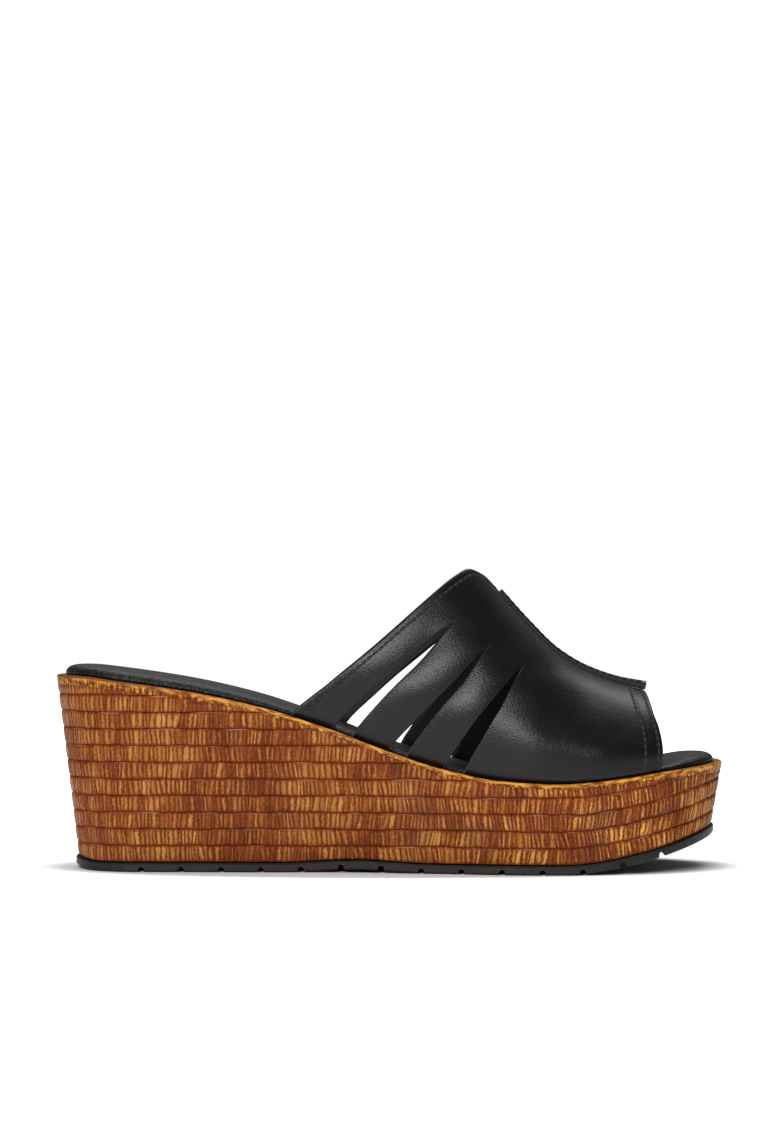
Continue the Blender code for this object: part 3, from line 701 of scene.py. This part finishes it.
    # Painted highlight on the upper corner of each course, where its rounded top edge catches the light,
    # in patches
    corner_low = add("MapRange", {"Value": in_course, "From Min": 0.9, "From Max": 0.95})
    corner_glint_share = add("MapRange", {"Value": corner_glint_noise, "From Min": 0.52, "From Max": 0.7, "To Max": 0.45})
    corner = add("Math", {0: corner_low, 1: corner_glint_share}, operation="MULTIPLY")
    # Over the paint in turn: darker patches, the grooves' stain and painted shade, the painted corner
    # highlights
    tone = painted
    for share, colour in ((patch, "#54281A"), (groove, "#461C06"), (corner, "#C08A6C")):
        tone = add("Mix", {0: share, 6: tone, 7: colour}, **COLOUR_MIX)
    roughness = add("MapRange", {"Value": gold_share, "To Min": 0.55, "To Max": 0.4})
    bump = add("Bump", {"Height": worn, "Distance": 0.0003, "Strength": 0.7})
    shader = add("BsdfPrincipled", {
        "Base Color": tone, "Roughness": roughness, "IOR": 1.5, "Specular IOR Level": 0.14, "Normal": bump,
    })
    add("OutputMaterial", {"Surface": shader})
    return staves


def painted_lip(name):
    """Gold paint over the smooth lip, rubbed pale along it, brown towards its foot, partly as painted
    shade.

    The piece's UV map counts millimetres along the lip, and 0 at its foot to 1 at its top.
    """
    lip, add, place = start_material(name, "#B0701F")
    layout = add("UVMap", uv_map="lip")
    up = add("SeparateXYZ", {0: layout}, output=1)
    # Brush marks, a few millimetres long on the lip and up and down at its foot
    long_marks = add("Mapping", {"Vector": layout, "Scale": (0.25, 2.2, 1.0)})
    brushed = add("TexNoise", {"Vector": long_marks, "Scale": 1.0, "Detail": 4.0})
    rubbed = add("MapRange", {"Value": brushed, "From Min": 0.4, "From Max": 0.62})
    short_marks = add("Mapping", {"Vector": layout, "Scale": (0.8, 0.3, 1.0)})
    ribbed = add("TexNoise", {"Vector": short_marks, "Scale": 1.0, "Detail": 3.0})
    gold = add("Mix", {0: rubbed, 6: "#783A0A", 7: "#D8983E"}, **COLOUR_MIX)
    # Dark brown upright marks at the lip's foot, higher at the heel: the stave grooves running up into it,
    # and painted shade where the lip turns in
    forward = add("SeparateXYZ", {0: place}, output=0)
    heel = add("MapRange", {"Value": forward, "From Min": -0.05, "From Max": -0.1})
    lowered = add("Math", {0: heel, 1: -0.3, 2: up}, operation="MULTIPLY_ADD")
    low = add("MapRange", {"Value": lowered, "From Min": 0.7, "From Max": 0.1}, **SOFT_RISE)
    rib = add("MapRange", {"Value": ribbed, "From Min": 0.4, "From Max": 0.56})
    foot = add("Math", {0: low, 1: rib}, operation="MULTIPLY")
    shaded = add("Mix", {0: foot, 6: gold, 7: "#521E04"}, **COLOUR_MIX)
    # Top corner darker at the heel
    high = add("MapRange", {"Value": up, "From Min": 0.66, "From Max": 0.9})
    top = add("Math", {0: heel, 1: high}, operation="MULTIPLY")
    tone = add("Mix", {0: top, 6: shaded, 7: "#6A3A1A"}, **COLOUR_MIX)
    speckle = add("TexNoise", {"Vector": place, "Scale": 900.0, "Detail": 3.0})
    bump = add("Bump", {"Height": speckle, "Distance": 0.0002, "Strength": 0.5})
    shader = add("BsdfPrincipled", {
        "Base Color": tone, "Roughness": 0.5, "IOR": 1.5, "Specular IOR Level": 0.12, "Normal": bump,
    })
    add("OutputMaterial", {"Surface": shader})
    return lip


def stave_edges(course):
    """Distances round the rim where the staves of one course meet, of uneven widths."""
    chance = random.Random(31 * course + 7)
    edges = [0.0]
    while edges[-1] < RIM_LENGTH:
        fine = chance.random() < FINE_STAVE_SHARE
        low, high = (STAVE_FINE, STAVE_BROAD[0]) if fine else STAVE_BROAD
        edges.append(edges[-1] + chance.uniform(low, high))
    return [edge * RIM_LENGTH / edges[-1] for edge in edges]


def lip_foot(at):
    """Height where the staves meet the smooth lip."""
    return rim_height(at) - smooth(LIP_AT, LIP_HEIGHTS, at)


def wedge_point(at, side, height, inset=0.0):
    """Point of the wedge's leaning side, set in from it by a distance."""
    depth = rim_height(at) - height
    return Vector((outline_x(at, depth, inset), outline_y(at, side, depth, inset), height))


def wedge_foot(at):
    """Height of the wedge's foot at a station, on the tread sheet."""
    x = SHOE_LENGTH * at
    for _ in range(4):
        x = outline_x(at, rim_height(at) - tread_height(x))
    return tread_height(x) + OUTSOLE_THICKNESS + CLEARANCE


def course_line(course, at, distance):
    """Height of the groove over a course, which curves up at the toe and wanders a little."""
    waves = [part * math.sin(distance * pace + course * shift) for part, pace, shift in WANDER_WAVES]
    height = COURSE_BASE + COURSE_PITCH * course + COURSE_RISE * toe_lift(SHOE_LENGTH * at)
    return height + COURSE_WANDER * sum(waves)


def add_course(bm, course):
    """One course of the wedge's side: rounded staves with grooves between them."""
    edges = stave_edges(course)
    chance = random.Random(53 * course + 11)
    leans = [0.0]
    for edge in edges[1:-1]:
        wave = math.sin(edge * SLANT_PACE + course * SLANT_SHIFT)
        slant = STAVE_SLANT * wave * math.sin(math.pi * edge / edges[-1])
        leans.append(slant + chance.uniform(-STAVE_LEAN, STAVE_LEAN))
    leans.append(0.0)
    columns = []
    for stave, (start, end) in enumerate(zip(edges, edges[1:])):
        groove = min(STAVE_GROOVE_WIDTH, GROOVE_MOST_SHARE * (end - start)) / (end - start)
        for share in (0.0, groove / 2, 1 - groove / 2):
            lean = leans[stave] + (leans[stave + 1] - leans[stave]) * share
            columns.append((stave, share, start + (end - start) * share, lean))
    columns.append((len(edges) - 1, 0.0, RIM_LENGTH, 0.0))
    spans = []
    for _, _, distance, _ in columns:
        at, _ = ring_place(distance)
        low = wedge_foot(at) if course == 0 else course_line(course - 1, at, distance)
        high = course_line(course, at, distance)
        spans.append((low, high, lip_foot(at)))

    def to_point(column, row):
        share, inset = COURSE_PROFILE[row]
        low, high, limit = spans[column]
        height = min(low + (high - low) * share, limit)
        near_lip = bell(limit - height, LIP_BLEND)
        _, along, distance, lean = columns[column]
        if along == 0.0:
            inset += STAVE_GROOVE_DEPTH * (1 - near_lip)
        if height >= limit:
            inset = CORE_INSET if row == len(COURSE_PROFILE) - 1 else 0.0
        at, side = ring_place(distance + 2 * lean * (share - 0.5) * (1 - near_lip))
        return wedge_point(at, side, height, inset)

    def to_uv(column, row):
        low, high, limit = spans[column]
        share = min(COURSE_PROFILE[row][0], max(0.0, (limit - low) / (high - low)))
        stave, along, _, _ = columns[column]
        return stave + along, course + min(max(share, 0.001), 0.999)

    def keep_face(column):
        low, _, limit = spans[column]
        return low < limit

    mapped_grid(bm, len(columns) - 1, len(COURSE_PROFILE) - 1, to_point, to_uv, keep_face)


def add_sheet(bm, to_edge, dish=0.0):
    """Sheet across the shoe between its outer and inner edge, sunk by a dish in the middle."""
    def to_point(column, row):
        at, _ = ring_turn(column / LIP_STATIONS)
        outer = to_edge(at, OUTER)
        inner = to_edge(at, INNER)
        across = row / TOP_ROWS
        point = outer.lerp(inner, across)
        width = min(1.0, (inner - outer).length / HEEL_WIDTH)
        point.z -= dish * width * math.sin(math.pi * across)
        return point

    mapped_grid(bm, LIP_STATIONS, TOP_ROWS, to_point)


def make_wedge(staves, lip):
    """Side of the wedge in stacked courses, and its core with the smooth lip and the top."""
    bm = bmesh.new()
    bm.loops.layers.uv.new("staves")
    for course in range(COURSE_COUNT + 1):
        add_course(bm, course)
    show("wedge_staves", bm, [staves], "wedge", recalculate=False)

    columns = 2 * LIP_STATIONS

    def top_edge(at, side):
        return wedge_point(at, side, rim_height(at), LIP_PROFILE[-1][1])

    def foot_edge(at, side):
        return wedge_point(at, side, wedge_foot(at), CORE_INSET)

    def to_side(column, row):
        at, side = ring_turn(column / LIP_STATIONS)
        if row == 0:
            return foot_edge(at, side)
        share, inset = LIP_PROFILE[row - 1]
        rim = rim_height(at)
        return wedge_point(at, side, rim - share * (rim - lip_foot(at)), inset)

    def to_uv(column, row):
        return column / columns * RIM_LENGTH * 1000, 1 - LIP_PROFILE[max(row - 1, 0)][0]

    bm = bmesh.new()
    bm.loops.layers.uv.new("lip")
    mapped_grid(bm, columns, len(LIP_PROFILE), to_side, to_uv)
    add_sheet(bm, top_edge)
    add_sheet(bm, foot_edge)
    show("wedge_core", bm, [lip], "wedge")


def make_insole(leather):
    """Padded footbed: rounded edge, shallow dish, a shade proud at the heel."""
    levels = [(0.0, 0.0)]
    for step in range(PAD_EDGE_STEPS + 1):
        angle = math.pi / 2 * step / PAD_EDGE_STEPS
        rise = 1 - INSOLE_EDGE_SHARE * (1 - math.sin(angle))
        levels.append((rise, INSOLE_EDGE_WIDTH * (1 - math.cos(angle))))

    def level_edge(level, at, side):
        rise, run = levels[level]
        inset = INSOLE_INSET + run
        x = outline_x(at, 0.0, inset)
        thickness = INSOLE_THICKNESS * smooth(PAD_AT, PAD_SHARE, x / SHOE_LENGTH) - CLEARANCE
        height = rim_height(x / SHOE_LENGTH) + CLEARANCE + thickness * rise
        return Vector((x, outline_y(at, side, 0.0, inset), height))

    def to_side(column, row):
        return level_edge(row, *ring_turn(column / LIP_STATIONS))

    bm = bmesh.new()
    mapped_grid(bm, 2 * LIP_STATIONS, len(levels) - 1, to_side)
    add_sheet(bm, partial(level_edge, -1), INSOLE_DISH)
    add_sheet(bm, partial(level_edge, 0))
    pad = show("footbed", bm, [leather], "insole")


def crease_offset(x, side, arch):
    """Height of the leather's creases and swells at a place along the shoe and down its side."""
    offset = 0.0
    for crease in CREASES:
        if crease.side != side:
            continue
        start = Vector((crease.start_x, crease.start_arch * ARCH_REACH))
        end = Vector((crease.end_x, crease.end_arch * ARCH_REACH))
        here = Vector((x, arch * ARCH_REACH))
        line = end - start
        share = min(max((here - start).dot(line) / line.length_squared, 0.0), 1.0)
        distance = (here - start - line * share).length
        offset += crease.rise * bell(distance, crease.width)
    return offset


def leather_point(at, side, arch, lift):
    """Point of the upper's shown surface, with its creases and the swell over the feather."""
    offset = lift + crease_offset(SHOE_LENGTH * at, side, arch)
    offset += FEATHER_SWELL * bell(arch - FEATHER_SWELL_AT, FEATHER_SWELL_REACH)
    return arch_point(at, side, arch) + arch_normal(at, side, arch) * offset


def edge_drop(distance, radius):
    """How far a rounded edge falls away at a distance from its end."""
    if distance >= radius:
        return 0.0
    return radius - math.sqrt(radius ** 2 - (radius - distance) ** 2)


def strap_swell(crown, tip, arch, share):
    """Swell of a strap over its slits, at a share of its width."""
    free = min(max((arch - tip) / CROWN_REACH, 0.0), 1.0) * min(1.0, (1 - arch) / CROWN_FOOT)
    return crown * free * (1 - (2 * share - 1) ** 2)


def add_panel(bm, back, front, columns, rolls, sink=0.0, crown=0.0):
    """The upper's surface between two edge lines, swelling by crown between the slits."""
    back_edge, back_tip, back_cut = back
    front_edge, front_tip, front_cut = front
    half = ROWS_TO_TIP + ROWS_BELOW_TIP

    def to_point(column, row):
        side = OUTER if row <= half else INNER
        down = half - row if side == OUTER else row - half
        share = (1 - math.cos(math.pi * column / columns)) / 2
        tip = back_tip + (front_tip - back_tip) * share
        if down <= ROWS_TO_TIP:
            arch = tip * down / ROWS_TO_TIP
        else:
            arch = tip + (1 - tip) * (down - ROWS_TO_TIP) / ROWS_BELOW_TIP
        start = back_edge(side, arch)
        end = front_edge(side, arch)
        opened = min(max((arch - tip) / TIP_REACH, 0.0), 1.0)
        width = (end - start) * SHOE_LENGTH
        drop = edge_drop(share * width, rolls[0]) * (opened if back_cut else 1.0)
        drop += edge_drop((1 - share) * width, rolls[1]) * (opened if front_cut else 1.0)
        swell = strap_swell(crown, tip, arch, share)
        at = start + (end - start) * share
        return leather_point(at, side, arch, swell - drop - sink)

    mapped_grid(bm, columns, 2 * half, to_point)


def panel_lines():
    """Back and front edge of each strap and of the vamp: line, share of its tip row, slit or not."""
    lines = [(collar_edge, SLITS[0].tip_at, False)]
    for slit in SLITS:
        for end in ("back", "front"):
            lines.append((partial(slit_edge, slit, end), slit.tip_at, True))
    lines.append((vamp_edge, SLITS[-1].tip_at, False))
    return list(zip(lines[0::2], lines[1::2]))


def thicken(piece, thickness):
    """Give a sheet its wall: its second material inside as lining, its third on the cut edge."""
    wall = piece.modifiers.new("wall", "SOLIDIFY")
    wall.thickness = thickness
    wall.offset = -1.0
    wall.use_even_offset = True
    wall.use_quality_normals = True
    wall.material_offset = 1
    wall.material_offset_rim = 2


def make_upper(leather, lining, edge):
    """Two quarters closed over the instep, slit three times a side and open at the toe."""
    bm = bmesh.new()
    panels = zip(panel_lines(), PANEL_COLUMNS, PANEL_ROLLS, PANEL_CROWNS)
    for (back, front), columns, rolls, crown in panels:
        add_panel(bm, back, front, columns, rolls, crown=crown)
    upper = show("slit_upper", bm, [leather, lining, edge], "upper", False)
    thicken(upper, UPPER_WALL)


def band_seat(side, arch):
    """Back edge of the shown toe band, closed up to the vamp's cut edge."""
    return vamp_edge(side, arch) - BAND_TUCK / SHOE_LENGTH


def make_toe_band(leather, lining, edge):
    """Lower band round the toe opening, in front of the vamp's cut edge."""
    bm = bmesh.new()
    tip = SLITS[-1].tip_at
    add_panel(
        bm, (band_seat, tip, False), (toe_edge, tip, False), BAND_COLUMNS, BAND_ROLLS, TOE_BAND_STEP
    )
    band = show("toe_edge_band", bm, [leather, lining, edge], "toe_band", False)
    thicken(band, UPPER_WALL - TOE_BAND_STEP)


def strip_lift(across, share):
    """Height of the strip's domed top: across from -1 to 1, share from the collar to the toe."""
    thickness = STRIP_COLLAR_THICKNESS
    thickness += (STRIP_TOE_THICKNESS - STRIP_COLLAR_THICKNESS) * share ** 2
    return CLEARANCE + thickness * (1 - (1 - STRIP_EDGE_SHARE) * across ** 4)


def strip_at(share):
    """Share of SHOE_LENGTH at a share of the strip's length."""
    start = collar_edge(OUTER, 0.0)
    return start + (toe_edge(OUTER, 0.0) - start) * share


def strip_point(at, across, lift):
    """Point over the ridge, across from -1 at the strip's outer edge to 1 at its inner edge."""
    side = OUTER if across < 0 else INNER
    arch = arch_share_at(at, side, abs(across) * STRIP_WIDTH / 2)
    return arch_point(at, side, arch) + arch_normal(at, side, arch) * lift


def make_centre_strip(leather, cut):
    """Raised strip over the middle seam, domed across and thicker towards the toe."""
    bm = bmesh.new()
    rows = 2 * STRIP_ROWS + 2

    def section(column, row):
        share = column / STRIP_COLUMNS
        at = strip_at(share)
        if row % rows <= STRIP_ROWS:
            across = 2 * (row % rows) / STRIP_ROWS - 1
            return strip_point(at, across, strip_lift(across, share))
        across = 1 - 2 * (row - STRIP_ROWS - 1) / STRIP_ROWS
        return strip_point(at, across, -STRIP_SEAT)

    mapped_grid(bm, STRIP_COLUMNS, rows, section)
    bmesh.ops.remove_doubles(bm, verts=bm.verts, dist=MERGE_DISTANCE)
    ends = [edge for edge in bm.edges if edge.is_boundary]
    bmesh.ops.holes_fill(bm, edges=ends, sides=0)
    for face in bm.faces:
        up = arch_normal(face.calc_center_median().x / SHOE_LENGTH, OUTER, 0.0)
        if abs(face.normal.dot(up)) < STRIP_CUT_RISE:
            face.material_index = 1
    strip = show("middle_strip", bm, [leather, cut], "centre_strip")
    bevel = strip.modifiers.new("rounded_edges", "BEVEL")
    bevel.width = STRIP_ROUND
    bevel.segments = STRIP_ROUND_STEPS
    bevel.limit_method = "ANGLE"
    bevel.angle_limit = STRIP_ROUND_ANGLE
    bevel.use_clamp_overlap = True


def add_stitch(bm, start, end, normal):
    """One thread stitch between two holes, a low capsule, over a flat near-black lens: painted shade of
    the dent that it pulls.
    """
    along = end - start
    turn = Matrix((along.normalized(), normal.cross(along).normalized(), normal)).transposed()
    middle = (start + end) / 2
    for length, width, height, lift, material in STITCH_FORMS:
        size = Matrix.Diagonal((along.length / 2 * length, width / 2, height / 2))
        place = Matrix.Translation(middle + normal * lift)
        shape = place @ (turn @ size).to_4x4()
        made = bmesh.ops.create_uvsphere(bm, u_segments=8, v_segments=5, radius=1.0, matrix=shape)
        for face in {face for corner in made["verts"] for face in corner.link_faces}:
            face.material_index = material


def stitch_row(bm, to_place, steps=400):
    """Stitches at an even pitch along a line, where to_place gives a point and its normal."""
    places = [to_place(step / steps) for step in range(steps + 1)]
    lengths = [0.0, *accumulate((b - a).length for (a, _), (b, _) in zip(places, places[1:]))]
    count = max(1, round(lengths[-1] / STITCH_PITCH))
    pitch = lengths[-1] / count
    for stitch in range(count):
        ends = []
        for share in (0.5 - STITCH_SHARE / 2, 0.5 + STITCH_SHARE / 2):
            reach = (stitch + share) * pitch
            step = min(bisect_right(lengths, reach) - 1, steps - 1)
            part = (reach - lengths[step]) / (lengths[step + 1] - lengths[step])
            ends.append(places[step][0].lerp(places[step + 1][0], part))
        normal = places[step][1]
        along = (ends[1] - ends[0]).normalized()
        normal = (normal - along * normal.dot(along)).normalized()
        add_stitch(bm, ends[0], ends[1], normal)


def collar_swell(at, side, arch):
    """Swell of the rear strap at a station."""
    back = collar_edge(side, arch)
    front = slit_edge(SLITS[0], "back", side, arch)
    return strap_swell(PANEL_CROWNS[0], SLITS[0].tip_at, arch, (at - back) / (front - back))


def edge_place(edge, inset, lift, start, side, share):
    """Point and normal of a stitch row at a distance in front of an edge of the upper."""
    arch = start + (STITCH_END - start) * share
    low = arch - ARCH_STEP
    high = arch + ARCH_STEP
    at = edge(side, arch)
    slope = (edge(side, high) - edge(side, low)) * SHOE_LENGTH
    reach = (arch_point(at, side, high) - arch_point(at, side, low)).length
    at += inset * math.hypot(1.0, slope / reach) / SHOE_LENGTH
    if edge is collar_edge:
        lift += collar_swell(at, side, arch)
    return leather_point(at, side, arch, lift), arch_normal(at, side, arch)


def strip_place(across, share):
    """Point and normal of a stitch row along the strip."""
    share = STRIP_STITCH_START + (1 - 2 * STRIP_STITCH_START) * share
    at = strip_at(share)
    lift = strip_lift(across, share)
    point = strip_point(at, across, lift)
    above = strip_point(at, across, lift + NORMAL_STEP)
    return point, (above - point).normalized()


def make_stitches(thread, dent_shade):
    """Lockstitch rows: round the collar, both sides of the toe's cut edge and of the strip."""
    rows = (
        (collar_edge, COLLAR_STITCH_INSET, 0.0, COLLAR_STITCH_START),
        (vamp_edge, -VAMP_STITCH_INSET, 0.0, TOE_STITCH_START),
        (toe_edge, -TOE_STITCH_INSET, -TOE_BAND_STEP, TOE_STITCH_START),
    )
    bm = bmesh.new()
    for side in (OUTER, INNER):
        for row in rows:
            stitch_row(bm, partial(edge_place, *row, side))
    for across in (-STRIP_STITCH_ACROSS, STRIP_STITCH_ACROSS):
        stitch_row(bm, partial(strip_place, across))
    show("stitches", bm, [thread, dent_shade], None)


def dress_outsole(rubber):
    """Rubber finish on the tread sheet, whose solid has the right shape."""
    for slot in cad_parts["outsole"].material_slots:
        slot.material = rubber


def make_floor(finish):
    """Plain pale floor under the shoe."""
    bm = bmesh.new()
    bmesh.ops.create_grid(bm, x_segments=1, y_segments=1, size=FLOOR_REACH)
    floor = shape_object("floor", bm, [finish])


def add_camera():
    """Camera square on to the shoe's outer side, low over the floor."""
    camera = bpy.data.cameras.new("camera")
    camera.sensor_fit = "VERTICAL"
    camera.sensor_height = SENSOR_HEIGHT
    camera.lens = SENSOR_HEIGHT * CAMERA_DISTANCE / (PHOTO_HEIGHT * PHOTO_PIXEL)
    eye = link_object("camera", camera)
    eye.location = (0.0, -CAMERA_DISTANCE, CAMERA_HEIGHT)
    eye.rotation_euler = (math.pi / 2, 0.0, 0.0)
    bpy.context.scene.camera = eye


def add_softbox(name, place, size, power):
    """Softbox turned to the shoe."""
    light = bpy.data.lights.new(name, "AREA")
    light.shape = "RECTANGLE"
    light.size, light.size_y = size
    light.energy = power
    box = link_object(name, light)
    box.location = place
    box.rotation_euler = (Vector(LIGHT_AIM) - Vector(place)).to_track_quat("-Z", "Y").to_euler()


def add_lights():
    """Even white room with softboxes in front, behind and above."""
    world = bpy.data.worlds.new("room")
    world.use_nodes = True
    world.node_tree.nodes.clear()
    seen = add_node(world, "LightPath", output="Is Camera Ray")
    strength = add_node(world, "MapRange", {"Value": seen, "To Min": ROOM_LIGHT, "To Max": BACKGROUND})
    sky = add_node(world, "Background", {"Color": "#FFFFFF", "Strength": strength})
    add_node(world, "OutputWorld", {"Surface": sky})
    bpy.context.scene.world = world
    bpy.context.scene.view_settings.view_transform = "Standard"
    for softbox in SOFTBOXES:
        add_softbox(*softbox)


SHOE_MIDDLE = 0.0
RIM_DISTANCES = rim_distances()
RIM_LENGTH = RIM_DISTANCES[-1]
SHOE_MIDDLE = outline_middle()

black_leather = smooth_leather("black_smooth_cowhide", "#0A0A0B")
lining_leather = plain_finish("black_pigskin_lining", "#141415", 0.7)
raw_edge = plain_finish("inked_cut_edge", "#141415", 0.6, 1500.0, 0.0004)
sock_leather = pebbled_leather("black_pebbled_sock_leather", "#0A0A0B", "#161718")
thread = plain_finish("black_polyester_thread", "#29292B", 0.75, 3000.0)
# Near-black lenses under the stitches: painted shade of the needle dents
dent_shade = plain_finish("painted_needle_dent_shade", "#030303", 0.9)
staves = painted_staves("stained_polyurethane_staves")
lip = painted_lip("gold_painted_polyurethane_lip")
rubber = moulded_rubber("black_styrene_rubber", "#090A0A")
make_wedge(staves, lip)
make_insole(sock_leather)
make_upper(black_leather, lining_leather, raw_edge)
make_toe_band(black_leather, lining_leather, raw_edge)
make_centre_strip(black_leather, raw_edge)
make_stitches(thread, dent_shade)
dress_outsole(rubber)
make_floor(studio_floor("white_studio_floor", "#F0F0F0"))
add_camera()
add_lights()
